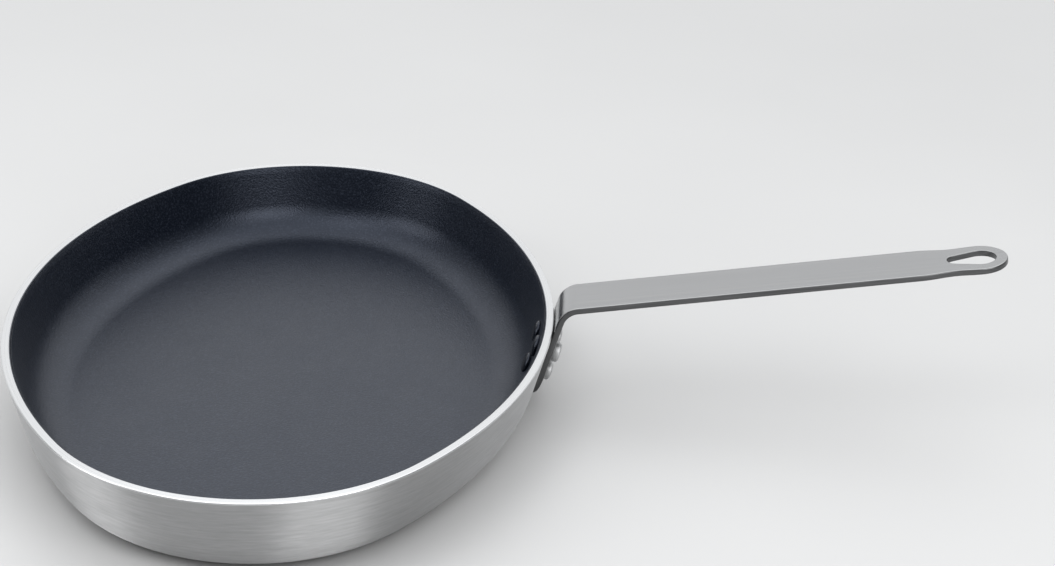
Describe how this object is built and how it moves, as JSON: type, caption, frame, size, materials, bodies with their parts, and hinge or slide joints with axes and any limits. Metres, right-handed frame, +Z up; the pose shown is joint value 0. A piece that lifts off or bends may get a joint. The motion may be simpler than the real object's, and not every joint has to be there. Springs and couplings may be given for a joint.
{
  "type": "oval frying pan",
  "caption": "Oval frying pan: pressed aluminium body with a flared wall, flat rim and dark non-stick lining, and a flat steel strip handle with a hanging hole, riveted to one long side.",
  "frame": {"origin": "centre of the pan's flat underside", "axes": "+Z up, +X along the handle from the middle of one long side, Y along the oval's long axis"},
  "size_m": [0.4595, 0.3596, 0.0865],
  "materials": {
    "pan_aluminium": "brushed around the wall, bright machined rim",
    "coating": "dark blue-grey non-stick, satin, finely speckled",
    "handle_steel": "satin rolled steel with rounded edges",
    "rivet_aluminium": "bare outside, coated dark on the heads inside the pan"
  },
  "bodies": {
    "root": {"pan_body": "pan_aluminium", "nonstick_coating": "coating", "handle": "handle_steel", "rivet_upper_near": "rivet_aluminium", "rivet_upper_far": "rivet_aluminium", "rivet_lower": "rivet_aluminium"}
  },
  "joints": []
}
